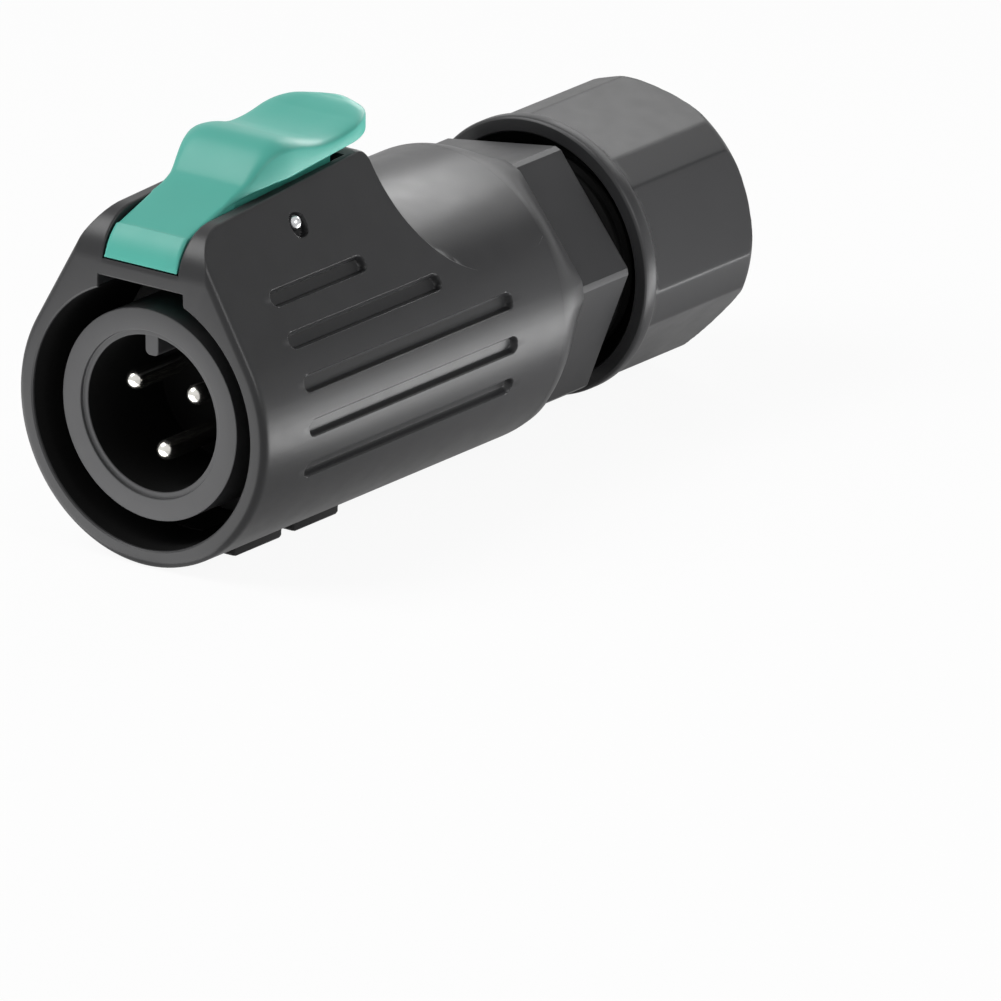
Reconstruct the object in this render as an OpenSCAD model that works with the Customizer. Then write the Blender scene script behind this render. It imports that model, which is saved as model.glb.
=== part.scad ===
// Waterproof circular connector: a push-lock cable plug with three pins, a rocker latch and a cable gland.
// All sizes are millimetres. The axis runs along x, from the mating end back to the cable, and the latch is up.

/* [Barrel] */
// Outside diameter of the barrel
barrel_d = 28; // [27:0.1:31]
// Length of the barrel, from the mating face to the rear sleeve
barrel_l = 44; // [43:0.5:52]
// Wall round the mating bore
barrel_wall = 1.7; // [1.4:0.1:2]
// Depth of the mating bore
mating_depth = 14; // [13:0.5:16]
// Thickness of the inner flange that carries the insulator
flange_t = 2; // [1.5:0.1:3]
// Wall round the rear bore
rear_wall = 2.4; // [2.2:0.1:2.8]

/* [Latch housing] */
// Height of the housing's top above the barrel, at its front
housing_rise = 4.3; // [4.2:0.1:4.8]
// Climb of the housing's top towards the back
housing_climb = 3.3; // [2.8:0.1:3.5]
// Lean of the flanks from the vertical
flank_lean = 30; // [28:0.5:32]
// Length of the housing along its top
housing_l = 26.4; // [25:0.2:28]
// Radius of the nose
nose_r = 4.6; // [4:0.1:5]
// Radius at the back of the top
tail_r = 1; // [1:0.1:2]
// Thickness of the bar below the latch nose
bar_t = 1.65; // [1.4:0.05:1.8]
// Width of the guide slot in the mating bore
guide_w = 9.6; // [9:0.1:10.4]
// Rise of the guide slot above the mating bore
guide_rise = 0.25; // [0.2:0.05:0.4]
// Length of the guide slot
guide_l = 9; // [8:0.5:12]

/* [Grip] */
// Spacing of the grip slots round the barrel
grip_pitch = 4.1; // [3.8:0.1:4.4]
// Width of a grip slot
grip_w = 1.5; // [1:0.1:1.9]
// Depth of a grip slot
grip_depth = 0.7; // [0.3:0.05:0.8]
// Distance of the slots from the mating face
grip_start = 6.7; // [5:0.1:9]
// Length of the slots on the barrel
grip_l = 30.4; // [26:0.2:33]
// Amount by which each slot up the flank is shorter
grip_step = 8.4; // [8:0.1:9]

/* [Foot] */
// Width of the foot
foot_w = 10.2; // [9:0.2:12]
// Length of the foot
foot_l = 15.3; // [13:0.1:17]
// Drop of the foot below the barrel
foot_drop = 0.02; // [0.02:0.01:0.1]
// Distance of the foot from the mating face
foot_start = 7; // [4:0.1:9]
// Width of the groove across the foot
foot_groove_w = 1.6; // [1:0.1:3]

/* [Latch] */
// Width of the latch between the cheeks
latch_w = 8.2; // [7.4:0.1:8.4]
// Width of the thumb tab
tab_w = 10.7; // [10:0.1:12]
// Length of the latch, nose to tip
latch_l = 29.4; // [28.6:0.1:31]
// Distance of the pivot from the mating face
pivot_x = 14.1; // [13.5:0.1:15]
// Drop of the pivot below the nose's top
pivot_drop = 2.37; // [2.2:0.05:2.5]
// Diameter of the pivot pin
pivot_d = 1.5; // [1.2:0.1:1.8]
// Diameter of the recess round each end of the pivot pin
pivot_recess_d = 2.1; // [2:0.1:2.6]
// Height of the tab's crest above the nose's top
crest_rise = 4.5; // [4.2:0.05:4.8]
// Depth of the thumb hollow below the crest
scoop_drop = 0.75; // [0.6:0.05:1]
// Height of the tab's underside above the nose's top, at the pivot
tab_under = 1.35; // [1.2:0.05:1.5]
// Width of the latch just below the thumb tab
undercut_w = 6.6; // [6:0.1:7.2]
// Width of the hook
hook_w = 6; // [5:0.1:6.6]
// Depth to which the hook reaches below the guide slot's top
hook_reach = 0.8; // [0.6:0.05:0.9]
// Distance of the hook's catch from the mating face
hook_x = 5.5; // [5:0.1:6.5]

/* [Latch spring] */
// Distance of the spring from the mating face
spring_x = 20; // [19:0.1:21]
// Outside diameter of the coil
spring_d = 3.2; // [2.8:0.1:3.6]
// Diameter of the wire
spring_wire_d = 0.4; // [0.3:0.05:0.5]
// Number of turns
spring_turns = 5; // [4:0.5:6]

/* [Insulator] */
// Gap between the mating bore and the insulator's barrel
mating_gap = 2.4; // [2:0.1:2.6]
// Wall of the insulator's barrel
ring_wall = 2.6; // [2.2:0.1:2.9]
// Setback of the insulator's barrel behind the mating face
ring_setback = 1.3; // [0.5:0.1:2]
// Depth of the contact well, from the mating face
well_depth = 12.4; // [11:0.2:13]
// Step on the inner edge of the barrel
ring_step = 0.55; // [0.3:0.05:0.7]
// Width of the key rib
key_w = 1.5; // [1:0.1:1.8]
// Height of the key rib below its round nose
key_h = 1.1; // [0.8:0.1:1.4]
// Thickness of the mounting flange
insulator_flange_t = 4; // [3:0.2:5]
// Length of the terminal block behind the flange
terminal_l = 10; // [9:0.2:12]

/* [Contacts] */
// Diameter of the circle that the contacts stand on
contact_circle_d = 7.94; // [7.6:0.02:8.2]
// Diameter of a contact pin
contact_d = 1.9; // [1.6:0.05:2.2]
// Setback of the pin tips behind the mating face
tip_setback = 2.9; // [2:0.1:5]
// Diameter of a terminal
terminal_d = 3.6; // [3.4:0.05:3.9]
// Diameter of the wire hole
wire_d = 2.2; // [1.8:0.1:2.4]
// Depth of the wire hole
wire_l = 6.5; // [6:0.1:7]
// Diameter of the terminal screws
screw_d = 2; // [1.6:0.1:2.2]

/* [Gasket and retaining ring] */
// Thickness of the mating gasket
gasket_t = 1.3; // [1:0.1:1.5]
// Thickness of the retaining ring
ring_t = 3.5; // [3:0.1:5]
// Width of the retaining ring from its bore to its edge
ring_w = 3; // [2.6:0.1:3.2]
// Width of the spanner slots in the retaining ring
ring_slot_w = 2; // [1.5:0.1:3]

/* [Rear sleeve] */
// Step from the shoulder down to each flat of the hexagon
flat_step = 0.45; // [0.3:0.05:0.6]
// Length of the shoulder between the barrel and the hexagon
shoulder_l = 4.2; // [3.5:0.1:5]
// Size of the sleeve's hexagon across its flats
hex_flats = 22.7; // [22:0.1:23.2]
// Length of the hexagon
hex_l = 7; // [5:0.1:9]
// Turn of the hexagon from the latch
hex_turn = 8; // [0:1:60]
// Length of the spigot in the shell
spigot_l = 9; // [7:0.5:11]
// Wall of the spigot
spigot_wall = 2.3; // [2.2:0.1:2.6]
// Thickness of the sleeve's O-ring
seal_d = 1.2; // [1:0.05:1.3]

/* [Cable gland] */
// Diameter of the threaded stub
stub_d = 20; // [19.6:0.1:20.4]
// Length of the threaded stub
stub_l = 14; // [13:0.1:15]
// Wall of the threaded stub
stub_wall = 1.7; // [1.5:0.1:1.9]
// Length of the nut
nut_l = 18; // [17.4:0.1:19]
// Gap between the hexagon and the nut
nut_gap = 2.3; // [1.5:0.1:2.6]
// Size of the nut across its flats
nut_flats = 23.8; // [23.2:0.1:24.4]
// Size of the nut across its blunted corners
nut_corners = 25.5; // [24.8:0.1:26]
// Turn of the nut from the latch
nut_turn = -14; // [-60:1:60]
// Diameter of the nut's front collar
collar_d = 26.3; // [26.1:0.1:27]
// Length of the nut's front collar
collar_l = 1.4; // [1:0.1:3]
// Radius at the back of the nut
nut_back_r = 3; // [2:0.1:3.2]
// Diameter of the cable hole in the nut
cable_hole_d = 13.2; // [12.6:0.1:13.4]
// Diameter of the hole in the cable seal
cable_d = 10; // [8:0.1:10.6]
// Number of fingers on the clamp cage
finger_count = 10; // [6:1:12]
// Width of the slots between the fingers
finger_slot_w = 1; // [0.6:0.1:1.4]
// Thickness of the slip washer
washer_t = 0.8; // [0.6:0.1:0.9]

/* [Clearances] */
// Clearance of parts that are pressed or glued together
close = 0.02; // [0.01:0.01:0.03]
// Radial clearance of turning parts
running = 0.05; // [0.03:0.01:0.08]
// Clearance of parts that are laid in
loose = 0.1; // [0.06:0.01:0.14]
// Clearance on each side of the latch
latch_gap = 0.2; // [0.15:0.05:0.3]

/* [Hidden] */
$fn = 96;
e = 0.5;
barrel_r = barrel_d / 2;
bore_r = barrel_r - barrel_wall;
rear_r = barrel_r - rear_wall;
flange_x = mating_depth;
seat_x = flange_x + flange_t;
guide_top = bore_r + guide_rise;
floor_z = guide_top + bar_t;
nose_top = barrel_r + housing_rise;
tan_y = barrel_r * cos(flank_lean);
tan_z = barrel_r * sin(flank_lean);
top_z = nose_top + (housing_l - nose_r) * tan(housing_climb);
tail_z = nose_top + (housing_l - tail_r - nose_r) * tan(housing_climb) - tail_r;
hollow_r = tail_z - tan_z + 0.5;
tail_end = housing_l + hollow_r;
slot_w = latch_w + 2 * latch_gap;
slot_end = housing_l - 2.4;
pivot_z = nose_top - pivot_drop;
ring_r = bore_r - mating_gap;
well_r = ring_r - ring_wall;
root_r = ring_r - 0.3;
contact_r = contact_circle_d / 2;
block_x = seat_x + insulator_flange_t;
block_end = block_x + terminal_l;
block_r = rear_r - 3 * loose - ring_w;
terminal_x = block_x + close;
screw_x = block_end - 3.6;
hex_x = barrel_l + shoulder_l;
hex_end = hex_x + hex_l;
neck_r = hex_flats / 2 / cos(30) + 0.06;
spigot_x = barrel_l - spigot_l;
spigot_r = rear_r - loose;
spigot_bore_r = spigot_r - spigot_wall;
seal_x = barrel_l - 2;
stub_r = stub_d / 2;
stub_end = hex_end + stub_l;
gland_r = stub_r - stub_wall;
cage_x = hex_end + 2;
cage_wall = 1.2;
cage_r = gland_r - loose;
cage_in_r = cage_r - cage_wall;
cable_seal_r = cage_in_r - close;
nut_x = hex_end + nut_gap;
nut_end = nut_x + nut_l;
nut_thread_r = stub_r + running;
nut_step_x = stub_end + 0.8;
washer_x = nut_step_x + 0.2;
nut_floor_x = washer_x + washer_t;
cage_end = washer_x - 0.3;
crest_z = nose_top + crest_rise;
under_slope = 0.091;
hook_z = guide_top - hook_reach;
latch_base = floor_z + 0.2;
spring_floor = floor_z - 1.1;
spring_seat = nose_top - 0.9;

// A point on a cubic curve with four guide points
function cubic(a, b, c, d, t) =
    pow(1 - t, 3) * a + 3 * t * pow(1 - t, 2) * b + 3 * t * t * (1 - t) * c + pow(t, 3) * d;

// A run of points on a cubic curve, without its first point
function curve(a, b, c, d, n) = [for (i = [1:n]) cubic(a, b, c, d, i / n)];

// Places a piece so that the origin is the centre of the insulator's front face
module placed() {
    translate([-ring_setback, 0, 0]) children();
}

// Turns a profile of radius and distance round the plug's axis
module turned() {
    rotate([0, 90, 0]) rotate_extrude() children();
}

// Cylinder on the plug's axis
module round_bar(r, from, to) {
    translate([from, 0, 0]) rotate([0, 90, 0]) cylinder(r = r, h = to - from);
}

// Carries an outline across the plug, in y and z, from one distance to another
module lengthwise(from, to) {
    translate([from, 0, 0]) rotate([90, 0, 90]) linear_extrude(height = to - from) children();
}

// Carries a side outline, in x and z, to both sides
module sideways(width) {
    rotate([90, 0, 0]) linear_extrude(height = width, center = true) children();
}

// Hexagon with a flat on top
module hexagon(flats) {
    circle(r = flats / 2 / cos(30), $fn = 6);
}

// Outline of the latch housing from the front
module housing_section() {
    polygon([
        [-tan_y, tan_z],
        [-tan_y + (top_z + 2 - tan_z) * tan(flank_lean), top_z + 2],
        [tan_y - (top_z + 2 - tan_z) * tan(flank_lean), top_z + 2],
        [tan_y, tan_z],
        [0, 0]
    ]);
}

// Outline of the latch housing from the side
module housing_side() {
    back_x = housing_l - tail_r;
    translate([nose_r, nose_top - nose_r]) circle(r = nose_r);
    polygon([
        [0, 0],
        [0, nose_top - nose_r],
        [nose_r, nose_top - nose_r],
        [nose_r, nose_top],
        [back_x, tail_z + tail_r],
        [back_x, tail_z],
        [housing_l, tail_z],
        [housing_l, 0]
    ]);
    translate([back_x, tail_z]) circle(r = tail_r);
    difference() {
        translate([housing_l - 0.5, 0]) square([hollow_r + 0.5, tail_z]);
        translate([tail_end, tail_z]) circle(r = hollow_r);
    }
}

// Round-ended cutter for one grip slot, opening upwards from the surface
module grip_cutter(length) {
    for (x = [grip_w / 2, length - grip_w / 2]) {
        translate([x, 0, -grip_depth]) cylinder(d = grip_w, h = grip_depth + 1);
    }
    translate([grip_w / 2, -grip_w / 2, -grip_depth]) cube([length - grip_w, grip_w, grip_depth + 1]);
}

// The five grip slots of one side
module grip_side() {
    arc_l = barrel_r * flank_lean * PI / 180;
    for (k = [-1:3]) {
        s = k * grip_pitch;
        length = grip_l - grip_step * max(0, k - 1);
        if (s < arc_l) {
            rotate([s / barrel_r * 180 / PI - 90, 0, 0])
                translate([grip_start, 0, barrel_r]) grip_cutter(length);
        } else {
            translate([
                grip_start,
                tan_y - (s - arc_l) * sin(flank_lean),
                tan_z + (s - arc_l) * cos(flank_lean)
            ]) rotate([flank_lean - 90, 0, 0]) grip_cutter(length);
        }
    }
}

// Foot under the barrel, with a groove across it
module foot() {
    groove_x = foot_start + 0.46 * foot_l;
    difference() {
        translate([foot_start, -foot_w / 2, -barrel_r - foot_drop]) cube([foot_l, foot_w, barrel_r / 2]);
        translate([groove_x, -foot_w, -barrel_r - 1.6]) cube([foot_groove_w, 2 * foot_w, 2]);
    }
}

// Front moulding with the mating bore, the latch housing, the grip slots and the foot
module shell() {
    recess_y = (barrel_r - pivot_z * sin(flank_lean)) / cos(flank_lean) - 0.7;
    color([0.22, 0.22, 0.23]) placed() difference() {
        union() {
            round_bar(barrel_r, 0, barrel_l);
            intersection() {
                lengthwise(0, tail_end) housing_section();
                sideways(4 * barrel_r) housing_side();
            }
            foot();
        }
        round_bar(bore_r, -e, mating_depth);
        round_bar(root_r + loose, 0, barrel_l);
        round_bar(rear_r, seat_x, barrel_l + e);
        translate([-e, -guide_w / 2, 0]) cube([guide_l + e, guide_w, guide_top]);
        translate([-e, -slot_w / 2, floor_z]) cube([slot_end + e, slot_w, 2 * barrel_r]);
        translate([hook_x - 3.6, -hook_w / 2 - latch_gap, bore_r - 2])
            cube([4.3, hook_w + 2 * latch_gap, floor_z - bore_r + 3]);
        translate([pivot_x, 0, pivot_z]) rotate([90, 0, 0]) {
            cylinder(d = pivot_d + 2 * close, h = 4 * barrel_r, center = true);
            for (side = [0, 180]) {
                rotate([0, side, 0]) translate([0, 0, recess_y]) cylinder(d = pivot_recess_d, h = barrel_r);
            }
        }
        translate([spring_x, 0, spring_floor]) cylinder(d = spring_d + 4 * loose, h = barrel_r);
        grip_side();
        mirror([0, 1, 0]) grip_side();
    }
}

// Side outline of the latch's upper edge, from the crease on the nose to the tip
function latch_top() = let (
    crease = [1.95, nose_top - 0.95],
    step = [9.7, nose_top + 1.6],
    crest = [14.5, crest_z],
    dip = [20.5, crest_z - scoop_drop],
    lip = [latch_l - 2.6, crest_z + 0.2],
    tip = [latch_l, crest_z - 0.65]
) concat(
    [crease],
    curve(crease, crease + [2.6, 0.8], step - [2, 0.8], step, 8),
    curve(step, step + [1.3, 0.7], crest - [2.6, 0.1], crest, 10),
    curve(crest, crest + [2.4, 0], dip - [2.6, 0], dip, 8),
    curve(dip, dip + [2.6, 0], lip - [2.2, 0.3], lip, 8),
    curve(lip, lip + [1.3, 0.15], tip + [0, 0.5], tip, 6)
);

// Height of the thumb tab's underside at a distance from the mating face
function tab_under_z(x) = nose_top + tab_under + (x - pivot_x) * under_slope;

// Teal rocker latch with the hook in front and the thumb tab behind
module latch() {
    nose_arc = [for (i = [0:8]) let (a = asin((latch_base - nose_top + nose_r) / nose_r) + i * 5.6)
        [nose_r - nose_r * cos(a), nose_top - nose_r + nose_r * sin(a)]];
    tab_r = tab_w / 2;
    end_x = latch_l - tab_r;
    body_end = slot_end - 0.6;
    color([0.37, 0.71, 0.65]) placed() difference() {
        union() {
            difference() {
                sideways(latch_w) polygon(concat(nose_arc, [for (p = latch_top()) if (p[0] < 14.4) p], [
                    [body_end, tab_under_z(body_end) + 0.3],
                    [body_end, spring_seat],
                    [spring_x - 2.4, spring_seat],
                    [pivot_x + 1.2, latch_base + 0.25],
                    [pivot_x, latch_base]
                ]));
                for (side = [0, 1]) mirror([0, side, 0])
                    translate([8.5, undercut_w / 2, pivot_z + 1.3]) cube([latch_l, latch_w, latch_l]);
            }
            intersection() {
                sideways(2 * tab_w) polygon(concat([for (p = latch_top()) if (p[0] > 6.9) p], [
                    [latch_l - 0.8, tab_under_z(latch_l - 0.8)],
                    [pivot_x - 1, tab_under_z(pivot_x - 1)],
                    [6.8, nose_top + 0.32]
                ]));
                linear_extrude(height = 3 * barrel_r) union() {
                    translate([end_x, 0]) circle(r = tab_r);
                    polygon([
                        [0, -latch_w / 2],
                        [7, -latch_w / 2],
                        [8.5, -latch_w / 2],
                        [11, -latch_w / 2 - 0.4 * (tab_r - latch_w / 2)],
                        [15.5, -tab_r],
                        [end_x, -tab_r],
                        [end_x, tab_r],
                        [15.5, tab_r],
                        [11, latch_w / 2 + 0.4 * (tab_r - latch_w / 2)],
                        [8.5, latch_w / 2],
                        [7, latch_w / 2],
                        [0, latch_w / 2]
                    ]);
                }
            }
            sideways(hook_w) polygon([
                [hook_x - 2.5, latch_base + 0.5],
                [hook_x - 2.5, hook_z + 1.5],
                [hook_x - 1.1, hook_z],
                [hook_x, hook_z],
                [hook_x, latch_base + 0.5]
            ]);
            translate([spring_x, 0, spring_seat - 0.8]) cylinder(d = spring_d - 2 * spring_wire_d - 0.3, h = 1.2);
        }
        translate([pivot_x, 0, pivot_z]) rotate([90, 0, 0])
            cylinder(d = pivot_d + 2 * running, h = 2 * latch_w, center = true);
        translate([21.5, 0, crest_z + 29.75 - scoop_drop]) sphere(r = 30, $fn = 128);
    }
}

// Steel cross pin with domed ends
module latch_pin() {
    half = (barrel_r - pivot_z * sin(flank_lean)) / cos(flank_lean) - 0.25;
    dome = 0.4;
    end = [for (i = [0:6]) [pivot_d / 2 * cos(15 * i), half - dome + dome * sin(15 * i)]];
    back = [for (i = [0:6]) [end[6 - i][0], -end[6 - i][1]]];
    color([0.75, 0.75, 0.76]) placed() translate([pivot_x, 0, pivot_z]) rotate([90, 0, 0])
        rotate_extrude() polygon(concat(end, back));
}

// Steel coil that pushes the thumb tab up
module latch_spring() {
    wire_r = spring_wire_d / 2;
    coil_r = spring_d / 2 - wire_r;
    low = spring_floor + wire_r + 0.02;
    high = spring_seat - wire_r - 0.02;
    steps = 18 * spring_turns;
    sides = 6;
    points = [for (i = [0:steps]) let (turn = 360 * i * spring_turns / steps) for (j = [0:sides - 1])
        let (a = 360 * j / sides, r = coil_r + wire_r * cos(a))
        [r * cos(turn), r * sin(turn), low + (high - low) * i / steps + wire_r * sin(a)]];
    walls = [for (i = [0:steps - 1]) for (j = [0:sides - 1]) let (k = (j + 1) % sides)
        [i * sides + j, i * sides + k, (i + 1) * sides + k, (i + 1) * sides + j]];
    ends = [[for (j = [0:sides - 1]) sides - 1 - j], [for (j = [0:sides - 1]) steps * sides + j]];
    color([0.7, 0.7, 0.72]) placed() translate([spring_x, 0, 0]) polyhedron(points, concat(walls, ends));
}

// Sets a child at each contact's place: one at the bottom and two at the sides above it
module at_contact(i) {
    rotate([180 + 120 * i, 0, 0]) translate([0, 0, contact_r]) children();
}

// Contact carrier with the round mating barrel and the key rib
module insulator() {
    color([0.24, 0.24, 0.25]) placed() difference() {
        union() {
            round_bar(ring_r, ring_setback, flange_x - gasket_t - 0.3);
            round_bar(root_r, flange_x - 4, block_x);
            round_bar(rear_r - loose, seat_x, block_x);
        }
        difference() {
            union() {
                round_bar(well_r, 0, well_depth);
                round_bar(well_r + ring_step, 0, ring_setback + 0.35);
            }
            translate([ring_setback + 0.35, -key_w / 2, well_r - key_h]) cube([well_depth, key_w, key_h + e]);
            translate([ring_setback + 0.35, 0, well_r - key_h]) rotate([0, 90, 0])
                cylinder(d = key_w, h = well_depth);
        }
        for (i = [0:2]) {
            at_contact(i) round_bar(contact_d / 2 + close, 0, block_x + e);
        }
    }
}

// Block behind the contact carrier, round the terminals
module terminal_block() {
    color([0.24, 0.24, 0.25]) placed() difference() {
        round_bar(block_r, block_x + close, block_end);
        for (i = [0:2]) {
            at_contact(i) {
                round_bar(terminal_d / 2 + close, block_x - e, block_end + e);
                translate([screw_x, 0, 0]) cylinder(d = screw_d + 4 * loose, h = barrel_r);
            }
        }
    }
}

// One turned contact: a round-nosed pin in front and a terminal for the wire behind
module contact(i) {
    pin_r = contact_d / 2;
    color([0.8, 0.79, 0.76]) placed() at_contact(i) difference() {
        turned() union() {
            difference() {
                translate([0, tip_setback + pin_r]) circle(r = pin_r);
                translate([-2 * pin_r, 0]) square([2 * pin_r, 4 * contact_circle_d]);
            }
            translate([0, tip_setback + pin_r]) square([pin_r, terminal_x + 1 - tip_setback - pin_r]);
            translate([0, terminal_x]) square([terminal_d / 2, block_end - terminal_x]);
        }
        round_bar(wire_d / 2, block_end - wire_l, block_end + e);
        translate([screw_x, 0, 0]) cylinder(d = screw_d + 2 * close, h = terminal_d);
    }
}

// Lowest contact, the earth
module contact_1() {
    contact(0);
}

// Upper contact on one side
module contact_2() {
    contact(1);
}

// Upper contact on the other side
module contact_3() {
    contact(2);
}

// Three grub screws that clamp the wires
module terminal_screws() {
    length = 2.6;
    color([0.72, 0.72, 0.73]) placed() for (i = [0:2]) {
        at_contact(i) translate([screw_x, 0, wire_d / 2 - 0.3]) difference() {
            cylinder(d = screw_d, h = length);
            translate([-screw_d, -0.2, length - 0.6]) cube([2 * screw_d, 0.4, 1]);
        }
    }
}

// Flat rubber ring at the root of the mating gap
module mating_gasket() {
    color([0.12, 0.12, 0.12]) placed() difference() {
        round_bar(bore_r - loose, flange_x - gasket_t, flange_x);
        round_bar(root_r + close, 0, barrel_l);
    }
}

// Ring that holds the insulator against the inner flange
module retaining_ring() {
    color([0.26, 0.26, 0.27]) placed() difference() {
        round_bar(rear_r - loose, block_x, block_x + ring_t);
        round_bar(block_r + 2 * loose, 0, barrel_l);
        translate([block_x + ring_t - 1.4, -barrel_r, -ring_slot_w / 2]) cube([2, 2 * barrel_r, ring_slot_w]);
    }
}

// Six slanted cutters that bring the round shoulder down to the flats of the hexagon
module shoulder_cuts() {
    drop = barrel_r - hex_flats / 2 - flat_step;
    for (i = [0:5]) {
        rotate([-hex_turn + 60 * i, 0, 0]) translate([barrel_l, 0, barrel_r])
            rotate([0, atan(drop / shoulder_l), 0]) translate([-e, -barrel_r, 0])
            cube([norm([drop, shoulder_l]) + e, 2 * barrel_r, barrel_r]);
    }
}

// Back body with the spanner flats and the gland's threaded stub
module rear_sleeve() {
    color([0.22, 0.22, 0.23]) placed() difference() {
        union() {
            round_bar(spigot_r, spigot_x, barrel_l + e);
            difference() {
                turned() polygon(concat(
                    [[0, barrel_l], [barrel_r, barrel_l]],
                    curve([barrel_r, barrel_l], [barrel_r, barrel_l + 0.45 * shoulder_l],
                        [neck_r, hex_x - 0.5 * shoulder_l], [neck_r, hex_x], 10),
                    [[0, hex_x]]
                ));
                shoulder_cuts();
            }
            lengthwise(hex_x - e, hex_end) rotate(-hex_turn) hexagon(hex_flats);
            turned() polygon([[0, hex_end - e], [stub_r, hex_end - e], [stub_r, stub_end - 0.8],
                [stub_r - 0.8, stub_end], [0, stub_end]]);
        }
        turned() polygon([[0, spigot_x - e], [spigot_bore_r, spigot_x - e], [spigot_bore_r, hex_x - 1],
            [cage_in_r, hex_end - 1], [cage_in_r, cage_x], [gland_r, cage_x], [gland_r, stub_end + e],
            [0, stub_end + e]]);
        turned() translate([rear_r - seal_d, seal_x - seal_d / 2 - loose])
            square([seal_d + 1, seal_d + 2 * loose]);
    }
}

// O-ring between the shell and the rear sleeve
module sleeve_seal() {
    color([0.12, 0.12, 0.12]) placed() turned()
        translate([rear_r - seal_d / 2 - close / 2, seal_x]) circle(d = seal_d - 2 * close);
}

// Slotted ring whose fingers close on the cable
module clamp_cage() {
    color([0.28, 0.28, 0.29]) placed() difference() {
        turned() polygon([[cage_in_r, cage_x], [cage_r, cage_x], [cage_r, cage_end - 1.2],
            [cage_r - 0.6, cage_end], [cage_in_r, cage_end]]);
        for (i = [0:finger_count - 1]) {
            rotate([360 * i / finger_count, 0, 0])
                translate([cage_x + 2.6, -finger_slot_w / 2, 0]) cube([stub_l + 4, finger_slot_w, 2 * cage_r]);
        }
    }
}

// Rubber bush round the cable
module cable_seal() {
    color([0.13, 0.13, 0.13]) placed() difference() {
        round_bar(cable_seal_r, cage_x, cage_end - 0.6);
        round_bar(cable_d / 2, 0, nut_end);
    }
}

// Thrust washer between the nut and the clamp cage
module slip_washer() {
    color([0.7, 0.71, 0.72]) placed() difference() {
        round_bar(stub_r - 0.8 - loose, washer_x, washer_x + washer_t);
        round_bar(cable_hole_d / 2, 0, nut_end);
    }
}

// Hexagonal nut that closes the gland
module gland_nut() {
    hole_r = cable_hole_d / 2;
    edge = (nut_corners / 2 - nut_flats / 2 * cos(30)) / sin(30);
    back_r = norm([nut_flats / 2, edge]) + 0.15 - nut_back_r;
    color([0.23, 0.23, 0.24]) placed() difference() {
        union() {
            intersection() {
                lengthwise(nut_x + 0.3, nut_end) intersection() {
                    rotate(-nut_turn) hexagon(nut_flats);
                    rotate(30 - nut_turn) hexagon(nut_corners);
                }
                turned() union() {
                    translate([0, nut_x]) square([back_r, nut_l]);
                    translate([0, nut_x]) square([back_r + nut_back_r, nut_l - nut_back_r]);
                    translate([back_r, nut_end - nut_back_r]) circle(r = nut_back_r);
                }
            }
            turned() polygon([[0, nut_x], [collar_d / 2 - 0.3, nut_x], [collar_d / 2, nut_x + 0.3],
                [collar_d / 2, nut_x + collar_l], [nut_flats / 2, nut_x + collar_l + 1.6],
                [0, nut_x + collar_l + 1.6]]);
        }
        turned() polygon([[0, nut_x - e], [nut_thread_r + 1.6, nut_x - e], [nut_thread_r + 1.6, nut_x + 0.9],
            [nut_thread_r, nut_x + 2.2], [0, nut_x + 2.2]]);
        round_bar(nut_thread_r, nut_x, nut_step_x);
        round_bar(stub_r - 0.8, nut_x, nut_floor_x);
        round_bar(hole_r, nut_x, nut_end + e);
        turned() polygon([[0, nut_end - 1], [hole_r, nut_end - 1], [hole_r + 1, nut_end], [hole_r + 1, nut_end + e],
            [0, nut_end + e]]);
    }
}

shell();
latch();
latch_pin();
latch_spring();
insulator();
terminal_block();
contact_1();
contact_2();
contact_3();
terminal_screws();
mating_gasket();
retaining_ring();
rear_sleeve();
sleeve_seal();
clamp_cage();
cable_seal();
slip_washer();
gland_nut();
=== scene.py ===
import math

import bmesh
import bpy
import numpy as np
from bpy.props import FloatProperty, FloatVectorProperty, PointerProperty
from bpy.types import Operator, Panel, PropertyGroup
from mathutils import Matrix, Vector


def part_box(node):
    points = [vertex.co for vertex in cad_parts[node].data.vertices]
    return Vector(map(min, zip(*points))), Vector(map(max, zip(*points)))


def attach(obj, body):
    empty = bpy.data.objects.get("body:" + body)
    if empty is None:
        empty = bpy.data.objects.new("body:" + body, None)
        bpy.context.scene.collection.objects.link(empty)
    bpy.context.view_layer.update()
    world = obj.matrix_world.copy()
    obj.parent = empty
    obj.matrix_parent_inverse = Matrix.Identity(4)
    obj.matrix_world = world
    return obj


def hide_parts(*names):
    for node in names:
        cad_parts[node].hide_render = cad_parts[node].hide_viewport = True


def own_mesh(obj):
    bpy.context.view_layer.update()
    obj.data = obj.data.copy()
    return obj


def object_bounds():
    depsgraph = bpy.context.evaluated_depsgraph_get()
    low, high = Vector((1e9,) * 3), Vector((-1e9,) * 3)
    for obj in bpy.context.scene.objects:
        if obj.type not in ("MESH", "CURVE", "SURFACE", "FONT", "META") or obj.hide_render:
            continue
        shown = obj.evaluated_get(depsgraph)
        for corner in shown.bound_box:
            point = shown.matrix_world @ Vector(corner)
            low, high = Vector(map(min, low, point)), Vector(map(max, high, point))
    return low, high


bl_info = {
    "name": "Waterproof cable plug",
    "version": (1, 0, 0),
    "blender": (4, 5, 0),
    "location": "View3D > Sidebar > Plug",
    "description": "Dresses the solids of a push-lock cable plug in plastic, rubber and metal",
    "category": "Object",
}

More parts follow.
